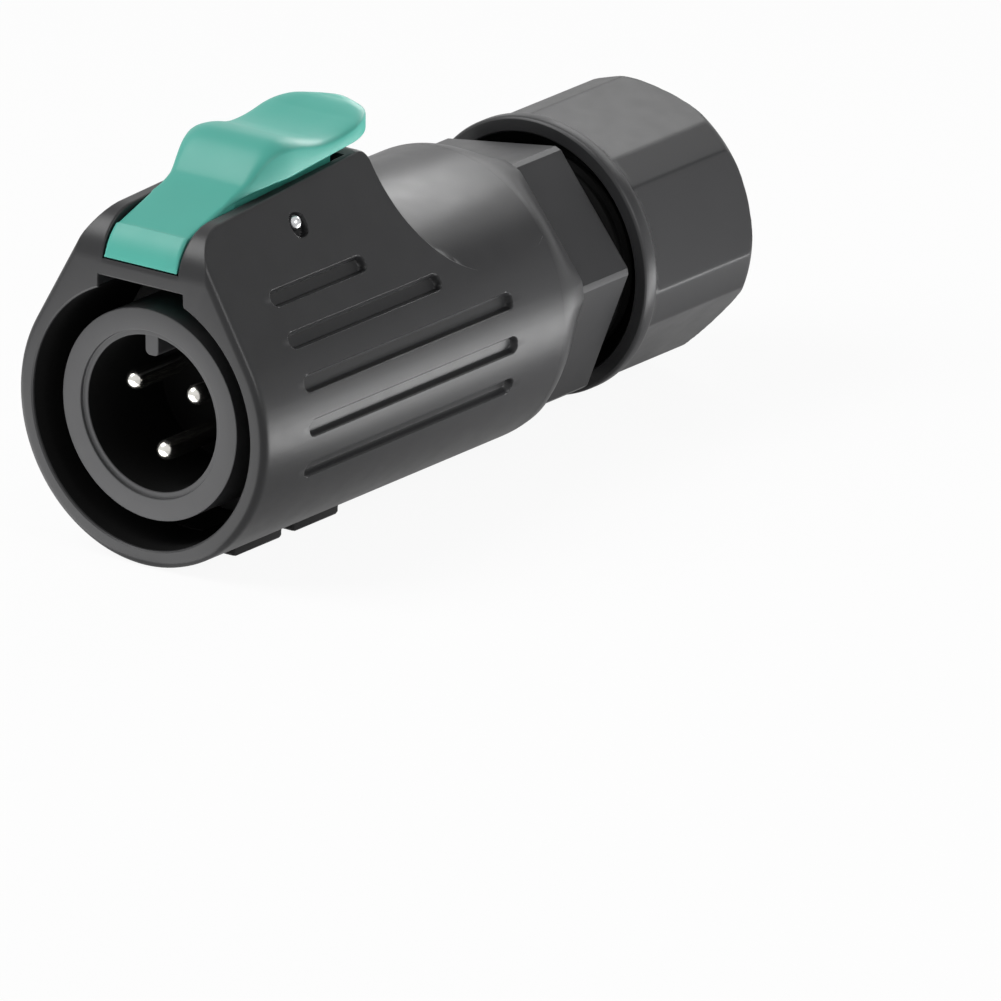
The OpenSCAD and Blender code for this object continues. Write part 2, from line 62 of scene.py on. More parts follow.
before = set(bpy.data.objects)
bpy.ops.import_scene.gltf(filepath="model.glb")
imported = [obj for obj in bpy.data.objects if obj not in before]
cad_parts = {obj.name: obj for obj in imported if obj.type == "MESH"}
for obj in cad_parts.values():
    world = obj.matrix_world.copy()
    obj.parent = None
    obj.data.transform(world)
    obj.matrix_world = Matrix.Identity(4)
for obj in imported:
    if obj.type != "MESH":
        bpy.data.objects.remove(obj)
CAD_BOX = [list(corner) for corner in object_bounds()]
# One millimetre in metres; shapes are worked out in millimetres
MM = 0.001
# Place of the shell's mating face, from which most distances along the plug count
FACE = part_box("shell")[0].x / MM


def linear(code):
    """Turns an sRGB hex colour into linear red, green, blue and alpha."""
    s = np.array([int(code[i:i + 2], 16) for i in (1, 3, 5)]) / 255
    rgb = np.where(s <= 0.04045, s / 12.92, ((s + 0.055) / 1.055) ** 2.4)
    return (*rgb.tolist(), 1.0)


def colour(name, description, code):
    """A colour property with its default written as an sRGB hex value."""
    return FloatVectorProperty(name=name, description=description, default=linear(code), size=4,
                               subtype="COLOR", min=0, max=1)


def length(name, description, millimetres):
    """A length property with its default written in millimetres."""
    return FloatProperty(name=name, description=description, default=millimetres * MM, min=0,
                         subtype="DISTANCE", unit="LENGTH", precision=5)


class PlugSizes(PropertyGroup):
    """Sizes of the visible detail, which the solids leave plain"""
    rim_edge: length("Rim edge", "Rounding of the shell's front rim", 0.7)
    housing_edge: length("Housing edges", "Rounding between the housing's top and flanks", 0.3)
    grip_depth: length("Grip slots", "Depth of the grip slots", 0.7)
    latch_edge: length("Latch edges", "Rounding of the thumb tab's upper edge", 0.95)
    insulator_edge: length("Insulator edges", "Rounding of the insulator's edges", 0.12)
    corner_land: length("Hexagon corners", "Width of the sleeve hexagon's round corners", 0.65)
    thread_pitch: length("Thread pitch", "Pitch of the gland's thread", 1.5)
    thread_depth: length("Thread depth", "Depth of the gland's thread", 0.5)
    spring_wire: length("Spring wire", "Diameter of the latch spring's wire", 0.4)


class PlugColours(PropertyGroup):
    """Colours of the finishes"""
    charcoal: colour("Charcoal", "Moulded body of the plug", "#272728")
    insulator: colour("Insulator", "Contact carrier inside the shell", "#383839")
    teal: colour("Teal", "Moulded latch", "#4ca294")
    silver: colour("Silver", "Plating of the contacts", "#dcdad4")
    steel: colour("Steel", "Pin, spring and screws", "#c3c4c6")
    # Near-black that paints the shade in bores and hollows, darker than the charcoal moulding they
    # are made of
    inside: colour("Inside", "Bores and hollows, which stay in shade", "#080808")
    rubber: colour("Rubber", "Gasket, O-ring and cable bush", "#141414")
    floor: colour("Floor", "Studio floor", "#ffffff")


class PlugView(PropertyGroup):
    """Place of the camera"""
    azimuth: FloatProperty(name="Azimuth", description="Turn of the view round the vertical",
                           default=math.radians(-52.5), subtype="ANGLE")
    elevation: FloatProperty(name="Elevation", description="Height of the view above the floor",
                             default=math.radians(19.0), subtype="ANGLE")
    width: length("Width of view", "Width of the object plane that fills the picture", 89.375)
    right: length("Right", "Distance of the picture's middle right of the shell's face", 32.14)
    down: length("Down", "Distance of the picture's middle below the shell's face", 7.34)


# Materials


def add(tree, kind, settings=None, links=None):
    """Adds a node; settings name its inputs or attributes, and links join outputs to its inputs."""
    node = tree.nodes.new(kind)
    for key, value in (settings or {}).items():
        if isinstance(key, int) or key in node.inputs:
            node.inputs[key].default_value = value
        else:
            setattr(node, key, value)
    for key, output in (links or {}).items():
        tree.links.new(output, node.inputs[key])
    return node


def per(millimetres):
    """Noise scale at which one blotch is about that wide."""
    return 1 / (millimetres * MM)


def clouded(name, tint, width, detail, shares):
    """A new material, its tree and Object coordinates, a cloud of about a width in millimetres, and
    the tint, which the cloud takes from one share of itself to another."""
    material = bpy.data.materials.new(name)
    material.use_nodes = True
    tree = material.node_tree
    tree.nodes.clear()
    place = add(tree, "ShaderNodeTexCoord").outputs["Object"]
    cloud = add(tree, "ShaderNodeTexNoise", {"Scale": per(width), "Detail": detail},
                {"Vector": place}).outputs["Fac"]
    shade = add(tree, "ShaderNodeValToRGB", links={"Fac": cloud})
    for stop, share in zip(shade.color_ramp.elements, shares):
        stop.color = (*np.minimum(np.array(tint)[:3] * share, 1), 1)
    return material, tree, place, cloud, shade.outputs["Color"]


def moulded_plastic(name, tint, roughness, grain, sheen):
    """Glass-filled nylon or ABS from a spark-eroded mould: a satin skin with a fine even grain,
    faint clouding from the flow of the melt, and gloss that wanders a little from place to place.
    The grain's width is in millimetres."""
    # Flow clouding about 6 mm wide
    material, tree, place, _, shade = clouded(name, tint, 6, 3.0, (0.94, 1.06))
    # Gloss patches about 2 mm wide
    patch = add(tree, "ShaderNodeTexNoise", {"Scale": per(2), "Detail": 2.0}, {"Vector": place})
    gloss = add(tree, "ShaderNodeMapRange",
                {"From Min": 0.3, "From Max": 0.7, "To Min": roughness - 0.02,
                 "To Max": roughness + 0.02}, {"Value": patch.outputs["Fac"]})
    # Mould grain: really about 0.03 mm, drawn coarser so that it shows
    pit = add(tree, "ShaderNodeTexNoise", {"Scale": per(grain), "Detail": 2.0}, {"Vector": place})
    bump = add(tree, "ShaderNodeBump", {"Strength": 0.25, "Distance": 0.02 * MM},
               {"Height": pit.outputs["Fac"]})
    shader = add(tree, "ShaderNodeBsdfPrincipled", {"IOR": 1.5, "Specular IOR Level": sheen},
                 {"Base Color": shade, "Roughness": gloss.outputs["Result"],
                  "Normal": bump.outputs["Normal"]})
    add(tree, "ShaderNodeOutputMaterial", links={"Surface": shader.outputs["BSDF"]})
    return material


def bright_metal(name, tint, roughness, lay):
    """Turned and plated brass, or drawn steel: a bright metal skin with fine lay lines and faint
    tarnish. The lay counts the lines in a millimetre along each axis."""
    # Tarnish clouds about 1.5 mm wide
    material, tree, place, cloud, shade = clouded(name, tint, 1.5, 3.0, (0.86, 1.05))
    gloss = add(tree, "ShaderNodeMapRange",
                {"To Min": roughness - 0.04, "To Max": roughness + 0.08}, {"Value": cloud})
    # Turning or drawing marks: really about 0.02 mm apart, drawn coarser so that they show
    squeeze = add(tree, "ShaderNodeMapping", {"Scale": [lines / MM for lines in lay]},
                  {"Vector": place})
    line = add(tree, "ShaderNodeTexNoise", {"Scale": 1.0, "Detail": 2.0},
               {"Vector": squeeze.outputs["Vector"]})
    bump = add(tree, "ShaderNodeBump", {"Strength": 0.15, "Distance": 0.01 * MM},
               {"Height": line.outputs["Fac"]})
    shader = add(tree, "ShaderNodeBsdfPrincipled", {"Metallic": 1.0},
                 {"Base Color": shade, "Roughness": gloss.outputs["Result"],
                  "Normal": bump.outputs["Normal"]})
    add(tree, "ShaderNodeOutputMaterial", links={"Surface": shader.outputs["BSDF"]})
    return material


def moulded_rubber(name, tint):
    """EPDM rubber from a polished mould: nearly black, dull, with a faint bloom on its skin."""
    # Bloom about 3 mm wide
    material, tree, place, _, shade = clouded(name, tint, 3, 4.0, (0.8, 1.5))
    # Skin pores about 0.2 mm wide
    pore = add(tree, "ShaderNodeTexNoise", {"Scale": per(0.2), "Detail": 2.0}, {"Vector": place})
    bump = add(tree, "ShaderNodeBump", {"Strength": 0.3, "Distance": 0.02 * MM},
               {"Height": pore.outputs["Fac"]})
    shader = add(tree, "ShaderNodeBsdfPrincipled", {"Roughness": 0.68, "IOR": 1.52},
                 {"Base Color": shade, "Normal": bump.outputs["Normal"]})
    add(tree, "ShaderNodeOutputMaterial", links={"Surface": shader.outputs["BSDF"]})
    return material


def finish_of(slot):
    """The material of one of the record's slots, or of the shaded inside, made when first asked."""
    hue = bpy.context.scene.plug_colours
    make, name, *settings = {
        "charcoal_plastic": (moulded_plastic, "charcoal glass-filled nylon, moulded",
                             hue.charcoal, 0.34, 0.14, 0.26),
        "insulator_plastic": (moulded_plastic, "dark grey nylon, moulded",
                              hue.insulator, 0.44, 0.12, 0.3),
        # Painted shade: a near-black, dull nylon for the bores, darker than the same charcoal
        # moulding outside
        "inside": (moulded_plastic, "painted shade of the bores, nylon", hue.inside, 0.7, 0.12, 0.08),
        "teal_plastic": (moulded_plastic, "teal ABS, moulded", hue.teal, 0.42, 0.14, 0.28),
        "plated_contact": (bright_metal, "silver-plated brass, turned",
                           hue.silver, 0.20, (8, 0.2, 0.2)),
        "steel": (bright_metal, "bright steel, drawn", hue.steel, 0.24, (0.6, 6, 0.6)),
        "rubber": (moulded_rubber, "EPDM rubber, moulded", hue.rubber),
    }[slot]
    return bpy.data.materials.get(name) or make(name, *settings)


# Shapes


def corners(node):
    """Lowest and highest corner of a CAD node in millimetres."""
    return tuple(np.array(corner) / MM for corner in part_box(node))


def settle(obj, body, slot, *nodes, inside=None):
    """Gives a finished piece its finish and its body, and hides the solids that it stands for.
    Where inside gives a radius and two distances, faces nearer to the axis and between them take
    the near-black that paints the shade of the bores."""
    mesh = obj.data
    mesh.materials.append(finish_of(slot))
    if inside:
        radius, start, end = inside
        middle = np.empty(3 * len(mesh.polygons), np.float32)
        mesh.polygons.foreach_get("center", middle)
        x, y, z = middle.reshape(-1, 3).T / MM
        # Painted shade: faces in the bore take a near-black, dull material instead of the
        # moulding's charcoal
        mesh.materials.append(finish_of("inside"))
        dark = (np.hypot(y, z) < radius) & (x > start) & (x < end)
        mesh.polygons.foreach_set("material_index", dark.astype(np.int32))
    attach(obj, body)
    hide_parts(*nodes)
    return obj


def skin(name, points, wrap=(False, True), sharp=26):
    """Object whose surface joins each grid point to its neighbours; points is rows x columns x 3 in
    millimetres. A wrapped direction joins its last line to its first. Points that fall together, as
    at a pole, are merged."""
    together = 0.0005 * MM
    rows, columns = points.shape[:2]
    u = np.arange(rows if wrap[0] else rows - 1)[:, None]
    v = np.arange(columns if wrap[1] else columns - 1)[None, :]
    u2, v2 = (u + 1) % rows, (v + 1) % columns
    quads = np.stack([u * columns + v, u2 * columns + v, u2 * columns + v2, u * columns + v2], -1)
    quads = quads.reshape(-1, 4)
    mesh = bpy.data.meshes.new(name)
    mesh.vertices.add(rows * columns)
    mesh.vertices.foreach_set("co", (points * MM).astype(np.float32).ravel())
    mesh.loops.add(quads.size)
    mesh.loops.foreach_set("vertex_index", quads.astype(np.int32).ravel())
    mesh.polygons.add(len(quads))
    mesh.polygons.foreach_set("loop_start", np.arange(0, quads.size, 4, dtype=np.int32))
    mesh.update(calc_edges=True)
    work = bmesh.new()
    work.from_mesh(mesh)
    bmesh.ops.remove_doubles(work, verts=work.verts, dist=together)
    bmesh.ops.dissolve_degenerate(work, edges=work.edges, dist=together)
    bmesh.ops.recalc_face_normals(work, faces=work.faces)
    work.to_mesh(mesh)
    work.free()
    # Smooth shading, apart from edges that turn by more than the sharp angle in degrees
    mesh.polygons.foreach_set("use_smooth", np.ones(len(mesh.polygons), bool))
    mesh.set_sharp_from_angle(angle=math.radians(sharp))
    mesh.validate()
    obj = bpy.data.objects.new(name, mesh)
    bpy.context.collection.objects.link(obj)
    return obj


def smooth(t):
    """Smooth step: three squares less two cubes of a value that is held between 0 and 1."""
    t = np.clip(t, 0, 1)
    return t * t * (3 - 2 * t)


def softened(points, setback, closed=True):
    """Profile whose corners are rounded: each corner gives way to a parabola that leaves the two
    sides at the setback from it, or less where a side is short. An open profile keeps its ends."""
    p = np.asarray(points, float)
    back, on = np.roll(p, 1, 0) - p, np.roll(p, -1, 0) - p
    a, b = np.linalg.norm(back, axis=1), np.linalg.norm(on, axis=1)
    s = np.minimum(setback, 0.45 * np.minimum(a, b))
    if not closed:
        s[[0, -1]] = 0
    start, end = p + back * (s / a)[:, None], p + on * (s / b)[:, None]
    t = np.linspace(0, 1, 5)[None, :, None]
    curve = (1 - t) ** 2 * start[:, None] + 2 * t * (1 - t) * p[:, None] + t ** 2 * end[:, None]
    return curve.reshape(-1, 2)


def bar(x, half, low, high, upper, lower, crown=0.0, flare=1.0):
    """Grid of a rounded bar along the plug: at each distance a section of a half width between a
    low and a high line, with its lower corners rounded by quarter circles and its upper ones by
    quarter ellipses, wider than high by the flare. The top is raised by the crown times one less
    the fourth power of the distance from the middle, as a share of the half width. Both ends close
    in a point."""
    x, half, low, high, upper, lower, crown, flare = (
        np.broadcast_to(np.asarray(v, float), np.shape(x))[:, None]
        for v in (x, half, low, high, upper, lower, crown, flare))
    # Roundings are held so that the corners of a thin or narrow section don't cross
    a, b = np.minimum(upper, 0.75 * (high - low)), np.minimum(lower, 0.24 * (high - low))
    wide, b = np.minimum(a * flare, 0.98 * half), np.minimum(b, 0.98 * half)
    q = np.linspace(0, np.pi / 2, 8)[None, :]
    line = np.linspace(1, -1, 15)[None, 1:-1]
    y = np.concatenate([half - wide + wide * np.cos(q), (half - wide) * line,
                        -(half - wide) - wide * np.sin(q), -(half - b) - b * np.cos(q),
                        (half - b) * -line, half - b + b * np.sin(q)], 1)
    z = np.concatenate([high - a + a * np.sin(q), high + 0 * line, high - a + a * np.cos(q),
                        low + b - b * np.sin(q), low + 0 * line, low + b - b * np.cos(q)], 1)
    above = 2 * q.size + line.size
    share = np.clip(y[:, :above] / np.maximum(half, 1e-6), -1, 1)
    z[:, :above] += crown * (1 - share ** 4)
    points = np.stack([x + 0 * y, y, z], -1)
    ends = np.repeat(points[[0, -1]].mean(1, keepdims=True), points.shape[1], 1)
    return np.concatenate([ends[:1], points, ends[1:]])


def bezier(a, b, c, d):
    """Points on a cubic curve from the first to the last of four guide points."""
    t = np.linspace(0, 1, 24)[:, None]
    return (1 - t) ** 3 * a + 3 * t * (1 - t) ** 2 * b + 3 * t ** 2 * (1 - t) * c + t ** 3 * d


def turned(profile, columns, centre=(0.0, 0.0)):
    """Grid of a profile of distance and radius turned round the plug's axis, or round a line beside
    it."""
    profile = np.asarray(profile, float)
    t = np.linspace(0, 2 * np.pi, columns, endpoint=False)
    x, r = profile[:, :1], profile[:, 1:]
    return np.stack([x + 0 * t, centre[0] - r * np.sin(t), centre[1] + r * np.cos(t)], -1)


def rubber_ring(name, node, bore, rounding, columns):
    """A rectangle with round corners between a node's bore and its outside, turned round the
    axis."""
    low, high = corners(node)
    profile = softened([(low[0], bore), (low[0], high[2]), (high[0], high[2]), (high[0], bore)],
                       rounding)
    settle(skin(name, turned(profile, columns), wrap=(True, True)), "plug", "rubber", node)


def dress(**slots):
    """Gives each CAD node that is shown as it is the finish of a slot."""
    for node, slot in slots.items():
        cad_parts[node].material_slots[0].material = finish_of(slot)


def round_rows(profile):
    """Distances and radii of a profile, each as rows of one column."""
    return np.asarray(profile, float).T[:, :, None]


def ringed(parts, t):
    """Grid of parts that follow each other: each has distances and radii by row, and by column
    where it isn't round. A column's angle counts from the top."""
    x, r = (np.concatenate([part[k] + 0 * t for part in parts]) for k in (0, 1))
    return np.stack([x, -r * np.sin(t), r * np.cos(t)], -1)


def columns_near(edges):
    """Angles round the axis in radians: even steps of two degrees, and more on both sides of the
    edges, which are in degrees."""
    beside = np.array([0.0, 0.35, 0.8, 1.3, 1.8])
    more = np.add.outer(edges, np.concatenate([beside, -beside])).ravel() % 360
    return np.radians(np.unique(np.round(np.concatenate([np.arange(0, 360, 2.0), more]), 3)))


def flats(t, turn, sets, softness):
    """Radius of a prism at each angle: the least of the distances to its faces, each a face's
    distance over the cosine of the angle to it, blended over a softness in millimetres."""
    least_cosine, far = 0.2, 99
    faces = np.array([(turn + first + 60 * k, d) for first, d in sets for k in range(6)])
    off = np.cos(t[None, :] - np.radians(faces[:, :1]))
    reach = np.where(off > least_cosine, faces[:, 1:] / np.maximum(off, least_cosine), far)
    low = reach.min(0)
    return low - softness * np.log(np.exp(-(reach - low) / softness).sum(0))


def thread(x, t, pitch):
    """Height of a right-hand thread, 0 in its root and 1 on its crest: a trapezium wave of distance
    over pitch less angle over a full turn, with a quarter each for root, crest and flanks."""
    phase = (x / pitch - t / (2 * np.pi)) % 1.0
    return np.clip(1.5 - 4 * np.abs(phase - 0.5), 0, 1)


class PLUG_OT_shell(Operator):
    """Front moulding with the mating bore, the latch housing, the grip slots and the foot"""
    bl_idname = "plug.shell"
    bl_label = "Shell"

    # Millimetres; distances along the plug count from the mating face
    LENGTH, RADIUS, BORE = 44.0, 14.0, 12.3
    NOSE, NOSE_TOP, CLIMB = 4.6, 18.3, math.tan(math.radians(3.3))
    TAIL, TAIL_RADIUS, HOLLOW = 26.4, 1.0, 12.0
    # Height at which the housing's edges run out, and how far above it they begin to fade
    RUN_OUT, FADE = 7.3, 1.5
    # The flank leans by 30 degrees and leaves the barrel this far up its arc
    LEAN_COS, LEAN_SIN, TANGENT = math.cos(math.radians(30)), 0.5, 7.3304
    # Arc down to the underside, and ways up the flank of its two grip slots
    UNDERSIDE, FLANK_SLOTS = -21.9911, (0.87, 4.97)
    SLOT_HALF, SLOT_FLOOR, SLOT_END = 4.3, 14.2, 24.0
    # Room in the bore for the latch's hook
    GUIDE_TOP, GUIDE_HALF = 12.55, 4.8
    GRIP_START, GRIP_LENGTH, GRIP_STEP, GRIP_HALF, GRIP_PITCH = 6.7, 30.4, 8.4, 0.75, 4.1
    # Pivot pin: distance along, and way up the flank from the tangent
    PIVOT, PIVOT_UP = 14.1, 10.31
    FEET = (("foot_front", 7.0, 14.04), ("foot_back", 15.64, 22.3))
    FOOT_HALF, FOOT_LOW, FOOT_HIGH = 5.1, -14.02, -12.2

    def execute(self, context):
        """Rows run back along the outside and home through the bore; columns run round from the
        latch slot's middle, over its wall, the cheek, the flank and the barrel to the underside,
        and up the other side alike."""
        x = self.rows()
        slot = (x < self.SLOT_END)[:, None]
        # Two rows at the slot's end, with the slot and without it, make its end wall
        x = np.insert(x, np.searchsorted(x, self.SLOT_END), self.SLOT_END)
        slot = np.insert(slot, np.searchsorted(x, self.SLOT_END), True, 0)
        y, z = self.section(x[:, None], slot, context.scene.plug_sizes)
        outside = np.stack([x[:, None] + 0 * y, -y, z], -1)
        half = np.concatenate([outside, self.bore(np.arctan2(np.abs(y[0]), z[0]))])
        points = np.concatenate([half, half[:, -2:0:-1] * [1, -1, 1]], 1) + [FACE, 0, 0]
        # Faces in the bore take the near-black of painted shade
        settle(skin("shell_moulding", points, wrap=(True, True), sharp=32), "plug",
               "charcoal_plastic", "shell", inside=(12.62, FACE + 0.3, FACE + 43))
        self.feet()
        return {"FINISHED"}

    def bore(self, angle):
        """Inside from the back to the mating face: a profile turned round the axis. Near the face
        its top is widened for the hook, to the lesser of a height over the cosine and a half width
        over the sine of the angle."""
        profile = np.array([(self.LENGTH, 11.75), (43.85, 11.6), (16, 11.6), (16, 9.7), (14, 9.7),
                            (14, self.BORE), (9, self.BORE), (9, self.BORE), (0.25, self.BORE),
                            (0.1, self.BORE + 0.05), (0, self.BORE + 0.2)])
        # Widened rows: from the second one at 9 mm on
        widened = (np.arange(len(profile)) > 6)[:, None] & (angle < 1.0)
        x, r = profile[:, :1], profile[:, 1:]
        guide = np.minimum(self.GUIDE_TOP / np.maximum(np.cos(angle), 0.1),
                           self.GUIDE_HALF / np.maximum(np.sin(angle), 0.1))
        r = np.where(widened, np.maximum(r, guide + r - self.BORE), r)
        return np.stack([x + 0 * r, -r * np.sin(angle), r * np.cos(angle)], -1)

    def feet(self):
        """Two pads below the barrel: bars whose ends rise in a small round."""
        share = np.array([0, 0, 0.02, 0.06, 0.5, 0.94, 0.98, 1, 1])
        lift = np.array([1.6, 0.3, 0.09, 0, 0, 0, 0.09, 0.3, 1.6])
        half = self.FOOT_HALF - 0.5 * lift * (lift < 1)
        for name, start, end in self.FEET:
            pad = bar(FACE + start + (end - start) * share, half, self.FOOT_LOW + lift,
                      self.FOOT_HIGH, 0.05, 0.25)
            settle(skin(name, pad), "plug", "charcoal_plastic", "shell")

    def rows(self):
        """Distances from the mating face, close together where the form changes."""
        rim = [0, 0.02, 0.06, 0.12, 0.2, 0.32, 0.45, 0.7, 1.0, 1.4, 1.9, 2.5, 3.2, 4.0, 4.6, 5.6]
        end = np.array([-0.12, -0.05, 0.0, 0.05, 0.1, 0.17, 0.26, 0.38, 0.52, 0.68, 0.85])
        grip_ends = self.GRIP_START + self.GRIP_LENGTH - self.GRIP_STEP * np.arange(3)
        pivot = np.array([0, 0.3, 0.55, 0.75, 0.88, 0.97, 1.04, 1.1, 1.18, 1.3])
        tail = self.TAIL - self.TAIL_RADIUS * (1 - np.sin(np.linspace(0, np.pi / 2, 9)))
        hollow = self.TAIL + self.HOLLOW * (1 - np.cos(np.radians(np.linspace(0, 76, 46))))
        return np.unique(np.round(np.concatenate([
            rim, self.GRIP_START + end, np.subtract.outer(grip_ends, end).ravel(),
            np.arange(8.5, 44.1, 1.5), self.PIVOT + pivot, self.PIVOT - pivot,
            [self.SLOT_END, self.SLOT_END + 0.4, self.LENGTH], tail, hollow]), 4))

    def top(self, x):
        """Height of the housing: a quarter circle at the nose, a slow climb, a small round and a
        hollow quarter circle that runs out on the barrel."""
        level = self.NOSE_TOP + (x - self.NOSE) * self.CLIMB
        nose = np.sqrt(np.maximum(self.NOSE ** 2 - (self.NOSE - x) ** 2, 0))
        turn = self.TAIL - self.TAIL_RADIUS
        low = self.NOSE_TOP + (turn - self.NOSE) * self.CLIMB - self.TAIL_RADIUS
        tail = np.sqrt(np.maximum(self.TAIL_RADIUS ** 2 - (x - turn) ** 2, 0))
        hollow = np.sqrt(np.maximum(self.HOLLOW ** 2 - (self.TAIL + self.HOLLOW - x) ** 2, 0))
        return np.select([x < self.NOSE, x < turn, x < self.TAIL],
                         [self.NOSE_TOP - self.NOSE + nose, level, low + tail], low - hollow)

    def roof(self, y, r, top):
        """Height of the outside at a distance to the side: the housing's top or the barrel."""
        return np.maximum(top, np.sqrt(np.maximum(r ** 2 - y ** 2, 0)))

    def section(self, x, slot, sizes):
        """Half of each section, as distances to the side and up. The flank is a leaning plane that
        meets the barrel in a tangent, the cheek's top is level, and the grip slots sink along the
        surface's normal."""
        rim, soft = sizes.rim_edge / MM, sizes.housing_edge / MM
        depth, recess_depth = sizes.grip_depth / MM, 0.8
        c, s = self.LEAN_COS, self.LEAN_SIN
        short = np.clip(rim - x, 0, rim)
        r = self.RADIUS - rim + np.sqrt(rim ** 2 - short ** 2)
        top = self.top(x)

        # The latch slot: its floor, its wall and the lip on top of it
        floor_y = self.SLOT_HALF * np.linspace(0, 1, 6)[None, :-1] + 0 * x
        floor_z = self.roof(floor_y, r, top)
        floor_z = np.where(slot, np.minimum(self.SLOT_FLOOR, floor_z), floor_z)
        high = self.roof(np.full_like(x, self.SLOT_HALF), r, top)
        low = np.where(slot, np.minimum(self.SLOT_FLOOR, high), high)
        lip = np.minimum(0.25, 0.45 * (high - low))
        f, q = np.linspace(0, 1, 4)[None, :], np.linspace(0, np.pi / 2, 6)[None, 1:]

        # The cheek, and the rounding to the flank, which fades where the housing runs out
        k = soft * np.clip((top - self.RUN_OUT) / self.FADE, 0, 1)
        edge = np.maximum(top, s * r)
        ky, kz = (r - k - s * (edge - k)) / c, edge - k
        cheek_y = self.SLOT_HALF + lip
        cheek_y = cheek_y + (ky - self.SLOT_HALF - lip) * np.linspace(0, 1, 18)[None, 1:]
        turn = np.radians(np.linspace(0, 60, 8))[None, 1:]

        # The flank, with more columns beside its two slots and the pivot
        near = np.array([0, 0.3, 0.5, 0.6, 0.67, 0.73, 0.79, 0.86, 1.0])
        spot = np.array([0, 0.4, 0.75, 0.95, 1.07, 1.16, 1.23, 1.32, 1.45])
        near, spot = np.concatenate([near, -near]), np.concatenate([spot, -spot])
        slots = np.add.outer(self.FLANK_SLOTS, near).ravel()
        up = np.unique(np.round(np.concatenate([
            np.arange(0, 14.6, 0.7), slots, self.PIVOT_UP + spot]), 3))
        up = up[up >= 0][::-1][None, :]
        up = np.minimum(up, np.maximum((edge - s * r) / c - k * math.tan(math.radians(30)), 0))
        sink = depth * self.grip(x, self.TANGENT + up) + recess_depth * self.recess(x, up)
        flank_y, flank_z = c * r - s * up - c * sink, s * r + c * up - s * sink

        # The barrel down to the underside, with more columns beside its three slots
        slots = np.add.outer(self.GRIP_PITCH * np.array([1, 0, -1]), near).ravel()
        arc = np.concatenate([self.TANGENT - np.arange(0.7, 36.6, 0.7), slots, [self.UNDERSIDE]])
        arc = arc[(arc < self.TANGENT) & (arc >= self.UNDERSIDE)]
        arc = np.unique(np.round(arc, 4))[::-1][None, :]
        barrel = r - depth * self.grip(x, arc)
        barrel_y, barrel_z = barrel * np.cos(arc / self.RADIUS), barrel * np.sin(arc / self.RADIUS)

        y = [floor_y, self.SLOT_HALF + 0 * (x + f), self.SLOT_HALF + lip * (1 - np.cos(q)), cheek_y,
             ky + k * np.sin(turn), flank_y, barrel_y]
        z = [floor_z, low + (high - lip - low) * f, high - lip + lip * np.sin(q),
             self.roof(cheek_y, r, top), kz + k * np.cos(turn), flank_z, barrel_z]
        return np.concatenate(y, 1), np.concatenate(z, 1)

    def grip(self, x, arc):
        """1 inside a round-ended grip slot and 0 outside, from the distance to the slot's middle
        line. The two upper slots are each a step shorter than the one below."""
        total = 0
        start = self.GRIP_START + self.GRIP_HALF
        for k in range(-1, 4):
            shorter = self.GRIP_STEP * max(0, k - 1)
            end = self.GRIP_START + self.GRIP_LENGTH - shorter - self.GRIP_HALF
            past = np.maximum(np.maximum(start - x, x - end), 0)
            off = np.hypot(past, arc - self.GRIP_PITCH * k) - self.GRIP_HALF
            total = total + smooth((0.1 - off) / 0.32)
        return total

    def recess(self, x, up):
        """1 inside the pivot pin's round recess, which the leaning flank shows as an ellipse."""
        off = np.hypot((x - self.PIVOT) / 1.05, (up - self.PIVOT_UP) / 1.21)
        return smooth((1.03 - off) / 0.12)


